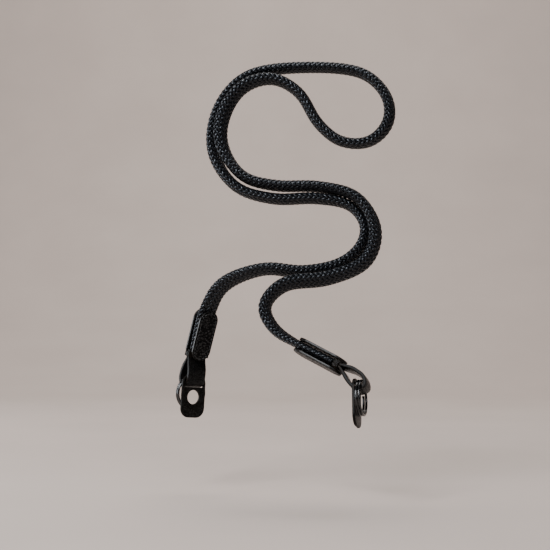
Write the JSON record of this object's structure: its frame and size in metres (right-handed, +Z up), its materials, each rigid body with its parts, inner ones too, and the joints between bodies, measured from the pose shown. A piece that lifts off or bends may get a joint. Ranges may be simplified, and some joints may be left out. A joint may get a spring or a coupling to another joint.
{
  "type": "rope camera strap",
  "caption": "Flat-oval braided rope strap doubled into a standing S with an open loop, with leather-clamped ends, split rings and leather lug guards to hang a camera from.",
  "frame": {"origin": "between the two split rings, at the height where they hang on a camera's lugs", "axes": "+X to the right and +Y away from the front as the picture shows the strap, +Z up"},
  "size_m": [0.1373, 0.0876, 0.2214],
  "materials": {
    "rope": "matt black braid",
    "leather": "black grained leather with paler cut edges",
    "ring": "gloss black"
  },
  "bodies": {
    "root": {"rope": "rope", "left_front_cover": "leather", "left_back_cover": "leather", "left_loop_strap": "leather", "left_keeper": "leather", "left_split_ring": "ring", "left_lug_guard": "leather", "right_front_cover": "leather", "right_back_cover": "leather", "right_loop_strap": "leather", "right_keeper": "leather", "right_split_ring": "ring", "right_lug_guard": "leather"}
  },
  "joints": []
}
